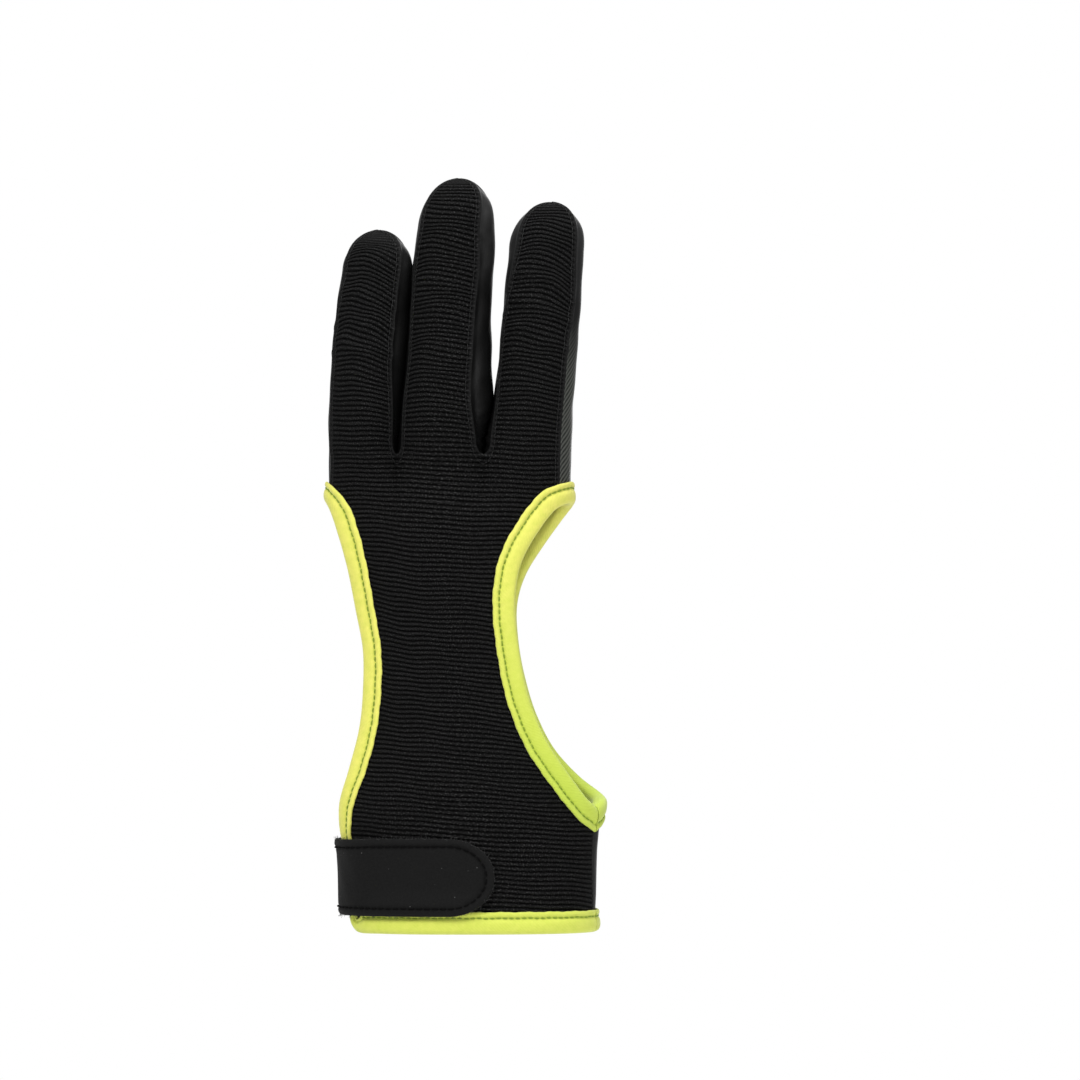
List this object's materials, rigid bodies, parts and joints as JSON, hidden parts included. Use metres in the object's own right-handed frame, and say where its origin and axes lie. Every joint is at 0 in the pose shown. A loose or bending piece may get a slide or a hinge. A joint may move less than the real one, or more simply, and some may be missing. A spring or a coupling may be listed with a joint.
{
  "type": "archery glove",
  "caption": "Three-finger archery glove for a left hand with a ribbed elastic back, smooth finger walls, bright bound edges and a wrist strap, held in its worn shape.",
  "frame": {"origin": "middle of the wrist opening, at the lower edge of the hem", "axes": "+Z from the wrist to the fingertips, -Y out of the back of the hand, +X towards the thumb"},
  "size_m": [0.0782, 0.0453, 0.2089],
  "materials": {
    "ribbed_elastic": "matt ribbed elastic cloth",
    "palm_leather": "smooth matt leather",
    "wall_leather": "smooth leather with a soft sheen",
    "binding_tape": "soft folded tape",
    "strap_cloth": "brushed loop cloth"
  },
  "bodies": {
    "root": {"back_panel": "ribbed_elastic", "palm_panel": "palm_leather", "ring_outer_wall": "wall_leather", "ring_middle_wall": "wall_leather", "middle_index_wall": "wall_leather", "index_outer_wall": "wall_leather", "thumb_binding": "binding_tape", "side_and_hem_binding": "binding_tape", "wrist_strap": "strap_cloth"}
  },
  "joints": []
}
